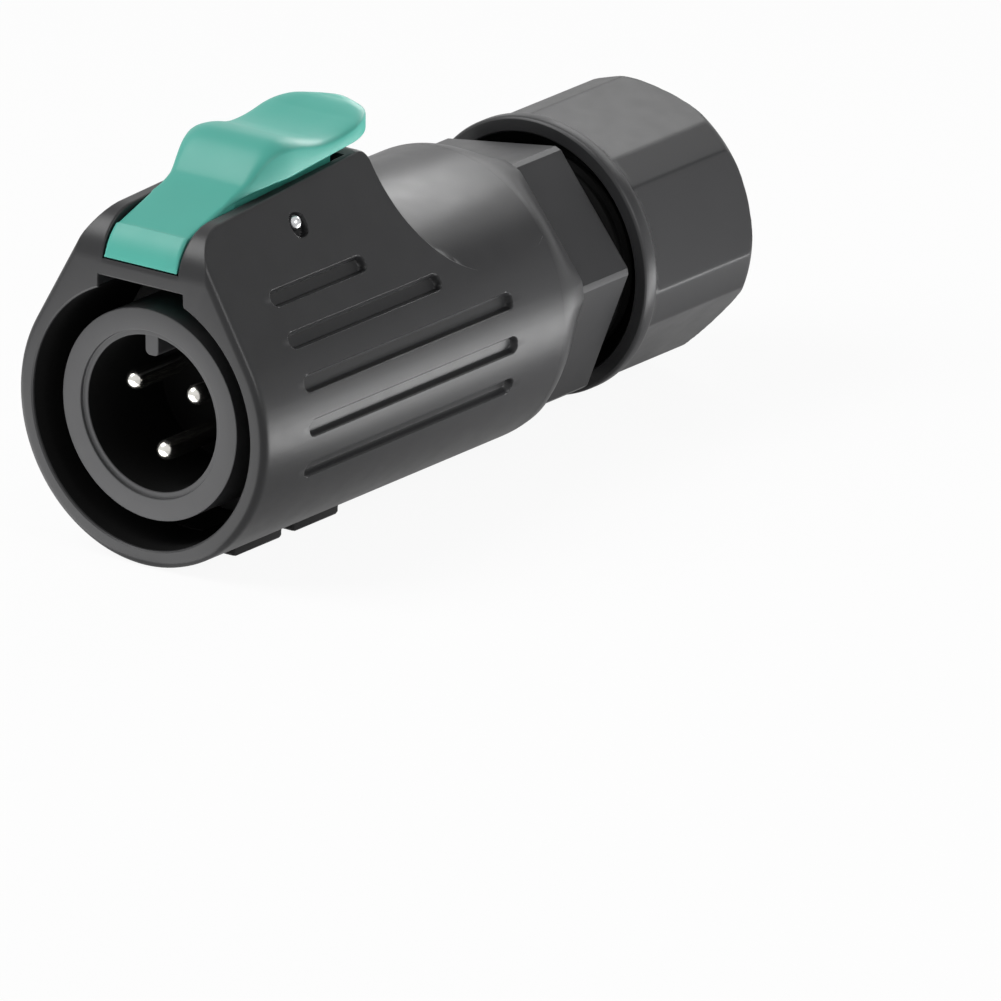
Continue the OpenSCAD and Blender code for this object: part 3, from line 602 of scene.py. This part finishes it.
class PLUG_OT_latch(Operator):
    """Rocker latch, the pin that it rocks on and the spring below its thumb tab"""
    bl_idname = "plug.latch"
    bl_label = "Latch"

    # Millimetres; distances along the plug count from the mating face
    NOSE, NOSE_TOP, NOSE_FLOOR, CREST, END = 4.6, 18.3, 14.4, 22.8, 29.4
    # Half widths, and where the tab begins to widen and over what length
    NECK_HALF, TAB_HALF, WIDEN, WIDEN_LENGTH = 4.1, 5.5, 8, 7.5
    # Points of a distance and a height: the tab's underside, and its top's crown or dish
    UNDERSIDE = ((0, 14.4), (5.5, 14.4), (6.8, 18.5), (13.1, 19.6), (28.2, 21.0), (29.0, 21.2),
                 (29.4, 21.6))
    CROWN = ((0, 0), (8, 0), (11, 0.12), (14, 0.15), (16.5, 0), (20, -0.42), (25, -0.5), (28, -0.3),
             (29.2, 0))
    # Name, half width, rounding below, distances, and points of the lower and the upper line
    BARS = (
        ("latch_heel", 4.07, 0.2, (4.4, 4.5, 5.5, 6.8, 8.45, 8.5, 13, 14.1, 15.3, 17.3, 17.4),
         ((4.4, 14.4), (14.1, 14.4), (15.3, 14.65), (17.6, 17.4)),
         ((4.4, 16.5), (6.8, 18.6), (8.45, 19.0), (8.5, 17.23))),
        ("latch_stem", 3.3, 0.2, (8.4, 8.45, 13.1, 17.6, 23.3, 23.4),
         ((8.4, 17.0), (17.6, 17.4)),
         ((8.4, 18.9), (13.1, 19.8), (23.4, 20.7))),
        ("latch_hook", 3.0, 0.15, (3.0, 3.05, 4.4, 4.5, 5.45, 5.5),
         ((3.0, 13.3), (3.05, 13.2), (4.4, 11.78), (4.5, 11.75), (5.45, 11.75), (5.5, 11.8)),
         ((3.0, 15.0),)))
    PIN_PROUD, PIN_DOME = 0.35, 0.7
    SPRING_TURNS, FLAT_TURNS = 6.5, 0.9

    def execute(self, context):
        sizes = context.scene.plug_sizes
        self.tab(sizes)
        self.bars()
        self.pin()
        self.spring(sizes)
        return {"FINISHED"}

    def outline(self):
        """Side outline of the tab's top: the nose's arc, the ramp, the hump, the thumb hollow and
        the lip, each but the first a cubic curve."""
        centre = self.NOSE_TOP - self.NOSE
        a = np.arcsin((self.NOSE_FLOOR - centre) / self.NOSE) + np.radians(np.linspace(0, 46, 12))
        nose = np.stack([self.NOSE - self.NOSE * np.cos(a), centre + self.NOSE * np.sin(a)], 1)
        crease, step, hump, dip, lip, tip = (np.array(point) for point in (
            (2.0, self.NOSE_TOP - 1.08), (9.7, self.NOSE_TOP + 1.6), (14.5, self.CREST),
            (20.5, self.CREST - 0.75), (self.END - 2.6, self.CREST + 0.2),
            (self.END, self.CREST - 0.65)))
        return np.concatenate([
            nose[nose[:, 0] < 1.9],
            bezier(crease, crease + (2.6, 0.9), step - (2, 0.8), step),
            bezier(step, step + (1.3, 0.7), hump - (2.6, 0.1), hump)[1:],
            bezier(hump, hump + (2.4, 0), dip - (2.6, 0), dip)[1:],
            bezier(dip, dip + (2.6, 0), lip - (2.2, 0.3), lip)[1:],
            bezier(lip, lip + (1.3, 0.15), tip + (0, 0.5), tip)[1:]])

    def tab(self, sizes):
        """A bar under the side outline, which widens by a smooth step and ends in a half circle.
        Its sides stay upright below a rounding that grows with the width."""
        x, top = self.outline().T
        t = smooth((x - self.WIDEN) / self.WIDEN_LENGTH)
        middle = self.END - self.TAB_HALF
        half = self.NECK_HALF + (self.TAB_HALF - self.NECK_HALF) * t
        tip = np.sqrt(np.maximum(self.TAB_HALF ** 2 - (x - middle) ** 2, 0.0004))
        half = np.where(x > middle, tip, half)
        top = top + 0.3 * t
        under = np.minimum(np.interp(x, *np.transpose(self.UNDERSIDE)), top - 0.02)
        crown = np.interp(x, *np.transpose(self.CROWN))
        edge = (0.47 + 0.53 * t) * sizes.latch_edge / MM
        grid = bar(x + FACE, half, under, top, edge, 0.3, crown, flare=1 + 1.6 * t)
        settle(skin("latch_tab", grid, sharp=40), "latch", "teal_plastic", "latch")

    def bars(self):
        """Three bars between a lower and an upper line: the heel below the tab, which carries the
        pivot, the narrower stem that joins the two, and the hook that hangs in front."""
        for name, half, rounding, x, *lines in self.BARS:
            low, high = (np.interp(x, *np.transpose(line)) for line in lines)
            grid = bar(np.array(x) + FACE, half, low, high, 0.05, rounding)
            settle(skin(name, grid, sharp=40), "latch", "teal_plastic", "latch")

    def pin(self):
        """A profile of quarter ellipses at both ends of a rod, turned round the pivot."""
        low, high = corners("latch_pin")
        middle, r, half = (low + high) / 2, (high[2] - low[2]) / 2, high[1] + self.PIN_PROUD
        a = np.linspace(np.pi / 2, 0, 9)
        end = np.stack([half - self.PIN_DOME + self.PIN_DOME * np.sin(a), r * np.cos(a)], 1)
        grid = turned(np.concatenate([end, end[::-1] * [-1, 1]]), 32)
        points = np.stack([middle[0] + grid[..., 1], grid[..., 0], middle[2] + grid[..., 2]], -1)
        settle(skin("latch_pivot", points), "plug", "steel", "latch_pin")

    def spring(self, sizes):
        """A round wire carried along a helix whose two end turns lie flat, as ground coils do."""
        low, high = corners("latch_spring")
        wire = sizes.spring_wire / MM / 2
        coil = (high[0] - low[0]) / 2 - wire
        flat = self.FLAT_TURNS / self.SPRING_TURNS
        u = np.linspace(0, 1, 261)
        rise = np.interp(u, [0, flat, 1 - flat, 1], [0, 0.05, 0.95, 1])
        a = 2 * np.pi * self.SPRING_TURNS * u
        path = np.stack([(low[0] + high[0]) / 2 + coil * np.cos(a), coil * np.sin(a),
                         low[2] + wire + (high[2] - low[2] - 2 * wire) * rise], -1)
        out = np.stack([np.cos(a), np.sin(a), 0 * a], -1)
        b = np.linspace(0, 2 * np.pi, 10, endpoint=False)[None, :, None]
        tube = path[:, None] + wire * (np.cos(b) * out[:, None] + np.sin(b) * np.array([0, 0, 1.0]))
        ends = np.repeat(path[[0, -1], None], b.size, 1)
        tube = np.concatenate([ends[:1], tube, ends[1:]])
        obj = settle(skin("latch_coil", tube, sharp=50), "plug", "steel", "latch_spring")
        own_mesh(obj)


class PLUG_OT_insert(Operator):
    """Contact carrier, contacts, gasket, and the pieces that hold them in the shell"""
    bl_idname = "plug.insert"
    bl_label = "Insert"

    # Millimetres; the barrel's face and the well's floor count from the mating face
    BARREL_FACE, WELL_FLOOR = 1.3, 12.4
    BARREL, CHAMFER, WELL, RING, BLOCK = 9.9, 7.85, 7.3, 9.6, 11.5
    STEP = 0.35
    PIN, TERMINAL, WIRE_HOLE = 0.95, 1.8, 1.1
    GASKET_BORE = 9.62

    def execute(self, context):
        self.carrier(context.scene.plug_sizes)
        for node in ("contact_1", "contact_2", "contact_3"):
            self.contact(node)
        rubber_ring("face_gasket", "mating_gasket", self.GASKET_BORE, 0.25, 128)
        dress(retaining_ring="insulator_plastic", terminal_block="insulator_plastic",
              terminal_screws="steel", sleeve_seal="rubber")
        return {"FINISHED"}

    def carrier(self, sizes):
        """A profile of the contact well, the barrel and the flange, turned round the axis; the key
        rib is a bar with a round lower edge that stands in the well."""
        face, floor = FACE + self.BARREL_FACE, FACE + self.WELL_FLOOR
        step = face + self.STEP
        well = [(floor, 0.0), (floor, self.WELL), (step, self.WELL), (step, self.CHAMFER)]
        outside = [(face, self.CHAMFER), (face, self.BARREL), (floor, self.BARREL),
                   (FACE + 12.5, self.RING), (FACE + 16, self.RING), (FACE + 16, self.BLOCK),
                   (FACE + 20, self.BLOCK), (FACE + 20, 0.0)]
        profile = softened(well + outside, sizes.insulator_edge / MM, closed=False)
        # The contact well's walls and floor take the near-black of painted shade
        settle(skin("contact_carrier", turned(profile, 180)), "plug", "insulator_plastic",
               "insulator", inside=(self.WELL + 0.04, face + 0.6, FACE + 13))
        rib = bar(np.array([face + 0.36, face + 0.36, face + 0.42, face + 0.5, floor]),
                  np.array([0.6, 0.68, 0.74, 0.75, 0.75]),
                  np.array([5.6, 5.52, 5.46, 5.45, 5.45]), 7.6, 0.05, 0.75)
        settle(skin("key_rib", rib), "plug", "insulator_plastic", "insulator")

    def contact(self, node):
        """A profile with a quarter circle at the tip, a shoulder and a wire hole, turned round the
        pin's own line."""
        low, high = corners(node)
        tip, end = low[0] + self.PIN, high[0]
        shoulder = end - 9.96
        a = np.linspace(0, np.pi / 2, 10)
        dome = np.stack([tip - self.PIN * np.cos(a), self.PIN * np.sin(a)], 1)
        rest = softened([(tip, self.PIN), (shoulder, self.PIN), (shoulder, self.TERMINAL),
                         (end, self.TERMINAL), (end, self.WIRE_HOLE), (end - 6.5, self.WIRE_HOLE),
                         (end - 7.1, 0.0)], 0.12, closed=False)
        centre = (low[1] + high[1]) / 2, (low[2] + high[2]) / 2
        points = turned(np.concatenate([dome, rest]), 48, centre)
        settle(skin(node + "_turned", points), "plug", "plated_contact", node)


class PLUG_OT_sleeve(Operator):
    """Rear sleeve with the spanner flats and the threaded stub"""
    bl_idname = "plug.sleeve"
    bl_label = "Rear sleeve"

    # Millimetres; the hexagon is turned in degrees, and its corners lie on about the round radius
    BARREL, SPIGOT, GROOVE, STUB = 14, 11.5, 10.4, 10.0
    FLAT, TURN, ROUND = 11.35, -8.0, 13
    # Distances from the joint with the shell
    HEX_START, HEX_END = 4.2, 11.2

    def execute(self, context):
        """Rows run along the outside from the spigot to the stub's end and back through the bore. A
        row is round, or the less of a circle and the hexagon. The stub's rows dip by the thread's
        depth where the wave is low."""
        sizes = context.scene.plug_sizes
        pitch, depth = sizes.thread_pitch / MM, sizes.thread_depth / MM
        low, high = corners("rear_sleeve")
        start, end, joint = low[0], high[0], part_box("shell")[1].x / MM
        hexagon, hex_end = joint + self.HEX_START, joint + self.HEX_END
        seam = joint + 0.01

        # Each corner of the hexagon is cut by a round land
        side = sizes.corner_land / MM / 2 / self.ROUND
        land = self.FLAT / math.cos(math.radians(30) - side)
        edges = np.add.outer(self.TURN + 30 + 60 * np.arange(6),
                             [-math.degrees(side), math.degrees(side)])
        t = columns_near(edges.ravel())
        prism = np.minimum(flats(t, self.TURN, [(0, self.FLAT)], 0.01), land)
        hex_x = np.array([0.0, 0.04, 0.3, 1.0, 3.0, 5.0, 6.4, 6.82, 6.93, 7.0]) + hexagon
        hex_cut = np.array([0.0] * 8 + [0.06, 0.18])

        front = [(start + 0.4, 11.1), (start + 0.6, self.SPIGOT), (joint - 2.8, self.SPIGOT),
                 (joint - 2.7, self.GROOVE), (joint - 1.3, self.GROOVE), (joint - 1.2, self.SPIGOT),
                 (seam, self.SPIGOT), (seam, self.BARREL - 0.01)]
        # The shoulder sinks from the barrel to a soft hexagon by a cubic share
        u = np.linspace(0, 1, 20)[:, None]
        foot = np.minimum(flats(t, self.TURN, [(0, self.FLAT + 0.45)], 0.15), 13.1)
        shoulder = self.BARREL - (self.BARREL - foot[None, :]) * (1.25 * u ** 2 - 0.25 * u ** 3)

        stub_x = np.arange(hex_end, end - 1.0, pitch / 8)[:, None]
        dip = (1 - thread(stub_x, t[None, :], pitch)) * depth
        fade = np.clip((stub_x - hex_end) / 1.2, 0, 1)
        stub_end = [(end - 0.75, self.STUB), (end - 0.1, self.STUB - 0.7), (end, self.STUB - 0.85)]
        bore = [(end, 8.5), (end - 0.25, 8.3), (hex_end + 2, 8.3), (hex_end + 2, 7.0),
                (hex_end - 1, 7.0), (hexagon - 1, 9.2), (start + 0.3, 9.2), (start, 9.5),
                (start, 10.8)]
        points = ringed([
            round_rows(front), (seam + 4.18 * u, shoulder),
            (hex_x[:, None], prism[None, :] - hex_cut[:, None]),
            (stub_x, self.STUB - fade * dip), round_rows(stub_end), round_rows(bore)], t)
        # The threaded stub and its bore take the near-black of painted shade
        settle(skin("back_sleeve", points, wrap=(True, True), sharp=18), "plug", "charcoal_plastic",
               "rear_sleeve", inside=(10.2, hex_end + 0.05, end + 1))
        return {"FINISHED"}


class PLUG_OT_gland(Operator):
    """Gland nut, cable bush, and the washer and cage between them"""
    bl_idname = "plug.gland"
    bl_label = "Cable gland"

    # Millimetres; the nut is turned in degrees
    FLAT, BLUNT, TURN = 11.9, 12.75, -14.0
    COLLAR, BACK, THREAD, CABLE = 13.15, 3.0, 10.05, 5.0

    def execute(self, context):
        self.nut(context.scene.plug_sizes)
        rubber_ring("cable_bush", "cable_seal", self.CABLE, 0.5, 96)
        dress(clamp_cage="insulator_plastic", slip_washer="steel")
        return {"FINISHED"}

    def nut(self, sizes):
        """Rows run along the outside from the collar to the back and home through the bore. An
        outside row is the greater of the collar's cone and the twelve faces, and at the back the
        lesser of the faces and a quarter circle. The bore's rows rise by the thread's depth where
        the wave is high."""
        pitch, depth = sizes.thread_pitch / MM, sizes.thread_depth / MM
        low, high = corners("gland_nut")
        first, last = low[0], high[0]
        # Where a flat meets the blunted corner: its distance from the flat's middle, and its angle
        edge = (self.BLUNT - self.FLAT * math.cos(math.radians(30))) / math.sin(math.radians(30))
        lean = math.degrees(math.atan2(edge, self.FLAT))
        t = columns_near(np.add.outer(-self.TURN + 60 * np.arange(6), [-lean, lean]).ravel())
        prism = flats(t, -self.TURN, [(0, self.FLAT), (30, self.BLUNT)], 0.05)[None, :]

        x = np.array([0.0, 0.04, 0.12, 0.24, 0.34, 1.2, 1.36, 1.5, 1.8, 2.2, 2.5, 2.7, 2.85, 3.0,
                      3.2, 4.5, 7.0, 10.0, 13.0, 14.6])
        cone = np.interp(x, [0, 0.04, 0.12, 0.24, 0.34, 1.2, 1.36, 1.5, 3.0, 3.01],
                         [12.86, 12.95, 13.05, 13.12, self.COLLAR, self.COLLAR, 13.12, 13.07,
                          self.FLAT, 0])
        x, cone = (first + x)[:, None], cone[:, None]
        outside = np.where(x > first + 1.4, np.maximum(cone, prism), cone)
        u = np.linspace(0, np.pi / 2, 22)[:, None]
        core = math.hypot(self.FLAT, edge) + 0.15 - self.BACK
        rear_x, rear_r = last - self.BACK + self.BACK * np.sin(u), core + self.BACK * np.cos(u)

        rim = [(last, 7.9), (last - 0.05, 7.6), (last - 1.0, 6.65), (last - 1.15, 6.6),
               (last - 4.5, 6.6), (last - 4.5, 9.2), (last - 5.5, 9.2), (last - 5.5, self.THREAD)]
        inner_x = np.arange(last - 5.7, first + 2.3, -pitch / 8)[:, None]
        wave = thread(inner_x, t[None, :], pitch) * depth
        fade = np.clip(np.minimum(inner_x - first - 2.3, last - 5.7 - inner_x), 0, 1)
        mouth = [(first + 2.2, self.THREAD), (first + 0.9, 11.65), (first + 0.15, 11.65),
                 (first, 11.8)]
        points = ringed([(x, outside), (rear_x, np.minimum(prism, rear_r)), round_rows(rim),
                         (inner_x, self.THREAD + fade * wave), round_rows(mouth)], t)
        # The nut's mouth, thread and bore take the near-black of painted shade
        settle(skin("hex_nut", points, wrap=(True, True), sharp=18), "nut", "charcoal_plastic",
               "gland_nut", inside=(11.75, first + 0.12, last - 4))


class PLUG_OT_stage(Operator):
    """Pale floor, studio lights and the camera"""
    bl_idname = "plug.stage"
    bl_label = "Stage"

    # Name, place and target in millimetres, width and height in millimetres, brightness in whites
    LAMPS = (
        ("key softbox", (-150, 200, 300), (30, 0, 5), 240, 240, 7.3),
        ("side softbox", (-10, -230, 140), (25, 0, 18), 120, 120, 5),
        ("back softbox", (186, 12, 112), (50, -4, 12), 140, 54, 3.1),
        ("small softbox", (54, 2, 32), (31.7, -4.8, 13.2), 26, 9, 6.5),
        ("table panel, right", (70, -52, -13.9), (70, -52, 0), 90, 48, 7),
        ("table panel, front", (-44, 26, -13.9), (-44, 26, 0), 84, 68, 2.6))
    # Way to the middle of the dark card, and the angles in degrees at which it is full and gone
    CARD, CARD_FULL, CARD_GONE = (0.75, -0.46, 0.475), 6, 16
    # Shares of plain white that the eye and that gloss sees in the floor, and its half width
    FLOOR_SEEN, FLOOR_GLOSS, FLOOR_HALF = 0.93, 0.38, 2500.0
    # Camera: width of its sensor and length of its lens in millimetres
    SENSOR, LENS = 36, 1000

    def execute(self, context):
        scene = context.scene
        scene.view_settings.view_transform = "Standard"
        self.world(scene)
        self.floor(scene)
        for name, place, target, wide, high, bright in self.LAMPS:
            lamp = bpy.data.lights.new(name, "AREA")
            lamp.shape = "RECTANGLE"
            lamp.size, lamp.size_y = wide * MM, high * MM
            lamp.energy = bright * math.pi * lamp.size * lamp.size_y
            obj = bpy.data.objects.new(name, lamp)
            obj.location = Vector(place) * MM
            away = Vector(place) - Vector(target)
            obj.rotation_euler = away.to_track_quat("Z", "Y").to_euler()
            obj.visible_camera = False
            context.collection.objects.link(obj)
        self.camera(context)
        return {"FINISHED"}

    def seen(self, tree, plain=1.0, gloss=1.0):
        """One share for rays from the camera and through glass, another for rays from gloss, and 0
        for the rest."""
        ray = add(tree, "ShaderNodeLightPath")
        straight = add(tree, "ShaderNodeMath", {"operation": "MAXIMUM"},
                       {0: ray.outputs["Is Camera Ray"], 1: ray.outputs["Is Transmission Ray"]})
        share = add(tree, "ShaderNodeMath", {"operation": "MULTIPLY", 1: plain},
                    {0: straight.outputs[0]})
        return add(tree, "ShaderNodeMath", {"operation": "MULTIPLY_ADD", 1: gloss},
                   {0: ray.outputs["Is Glossy Ray"], 2: share.outputs[0]}).outputs[0]

    def world(self, scene):
        """White to the eye and in reflections, apart from a dark card behind the plug on the right,
        which the sleeve's flats mirror, and a plain grey light on everything else."""
        scene.world = bpy.data.worlds.new("studio")
        scene.world.use_nodes = True
        tree = scene.world.node_tree
        tree.nodes.clear()
        fill = add(tree, "ShaderNodeBackground", {"Color": (1, 1, 1, 1), "Strength": 0.15})
        white = add(tree, "ShaderNodeBackground", {"Color": (1, 1, 1, 1), "Strength": 1.0})
        way = add(tree, "ShaderNodeTexCoord").outputs["Generated"]
        near = add(tree, "ShaderNodeVectorMath", {"operation": "DOT_PRODUCT", 1: self.CARD},
                   {0: way})
        clear = add(tree, "ShaderNodeMapRange",
                    {"From Min": math.cos(math.radians(self.CARD_GONE)),
                     "From Max": math.cos(math.radians(self.CARD_FULL)),
                     "To Min": 1.0, "To Max": 0.1}, {"Value": near.outputs["Value"]})
        share = add(tree, "ShaderNodeMath", {"operation": "MULTIPLY"},
                    {0: self.seen(tree), 1: clear.outputs["Result"]})
        mix = add(tree, "ShaderNodeMixShader",
                  links={0: share.outputs[0], 1: fill.outputs[0], 2: white.outputs[0]})
        add(tree, "ShaderNodeOutputWorld", links={"Surface": mix.outputs[0]})

    def floor(self, scene):
        """A flat square below the plug; most of what the eye sees of it is white, and the rest
        keeps the shadow."""
        z = CAD_BOX[0][2] / MM - 0.02
        side = np.array([-self.FLOOR_HALF, self.FLOOR_HALF])
        grid = np.stack([np.repeat(side[:, None], 2, 1), np.repeat(side[None, :], 2, 0),
                         np.full((2, 2), z)], -1)
        floor = skin("floor", grid, wrap=(False, False))
        # Card: a dull white sheet with a faint fibre cloud about 20 mm wide
        material, tree, _, _, shade = clouded("matt white card", (1, 1, 1), 20, 2.0, (0.78, 0.82))
        card = add(tree, "ShaderNodeBsdfDiffuse", links={"Color": shade})
        white = add(tree, "ShaderNodeEmission",
                    {"Color": scene.plug_colours.floor, "Strength": 1.0})
        mix = add(tree, "ShaderNodeMixShader",
                  links={0: self.seen(tree, self.FLOOR_SEEN, self.FLOOR_GLOSS),
                         1: card.outputs[0], 2: white.outputs[0]})
        add(tree, "ShaderNodeOutputMaterial", links={"Surface": mix.outputs[0]})
        floor.data.materials.append(material)

    def camera(self, context):
        """A very long lens, so that the view is nearly parallel, aimed at the picture's middle."""
        view = context.scene.plug_view
        a, e = view.azimuth, view.elevation
        back = Vector((math.sin(a) * math.cos(e), -math.cos(a) * math.cos(e), math.sin(e)))
        right = Vector((math.cos(a), math.sin(a), 0))
        up = back.cross(right)
        aim = Vector((FACE * MM, 0, 0)) + right * view.right - up * view.down
        data = bpy.data.cameras.new("camera")
        data.sensor_width, data.lens = self.SENSOR, self.LENS
        data.clip_start, data.clip_end = 0.1, 20
        far = view.width * data.lens / data.sensor_width
        turn = Matrix((right, up, back)).transposed().to_4x4()
        obj = bpy.data.objects.new("camera", data)
        obj.matrix_world = Matrix.Translation(aim + back * far) @ turn
        context.collection.objects.link(obj)
        context.scene.camera = obj


class PLUG_PT_panel(Panel):
    """Lists the plug's pieces, sizes and colours"""
    bl_idname = "PLUG_PT_panel"
    bl_label = "Cable plug"
    bl_space_type = "VIEW_3D"
    bl_region_type = "UI"
    bl_category = "Plug"

    def draw(self, context):
        for operator in OPERATORS:
            self.layout.operator(operator.bl_idname)
        for group in GROUPS:
            box = self.layout.box()
            for name in GROUPS[group].__annotations__:
                box.prop(getattr(context.scene, group), name)


OPERATORS = (PLUG_OT_shell, PLUG_OT_latch, PLUG_OT_insert, PLUG_OT_sleeve, PLUG_OT_gland,
             PLUG_OT_stage)
GROUPS = {"plug_sizes": PlugSizes, "plug_colours": PlugColours, "plug_view": PlugView}
CLASSES = (*GROUPS.values(), *OPERATORS, PLUG_PT_panel)


def register():
    for cls in CLASSES:
        bpy.utils.register_class(cls)
    for name, cls in GROUPS.items():
        setattr(bpy.types.Scene, name, PointerProperty(type=cls))


def unregister():
    for name in GROUPS:
        delattr(bpy.types.Scene, name)
    for cls in reversed(CLASSES):
        bpy.utils.unregister_class(cls)


def main():
    register()
    bpy.ops.plug.shell()
    bpy.ops.plug.latch()
    bpy.ops.plug.insert()
    bpy.ops.plug.sleeve()
    bpy.ops.plug.gland()
    bpy.ops.plug.stage()


if __name__ == "__main__":
    main()
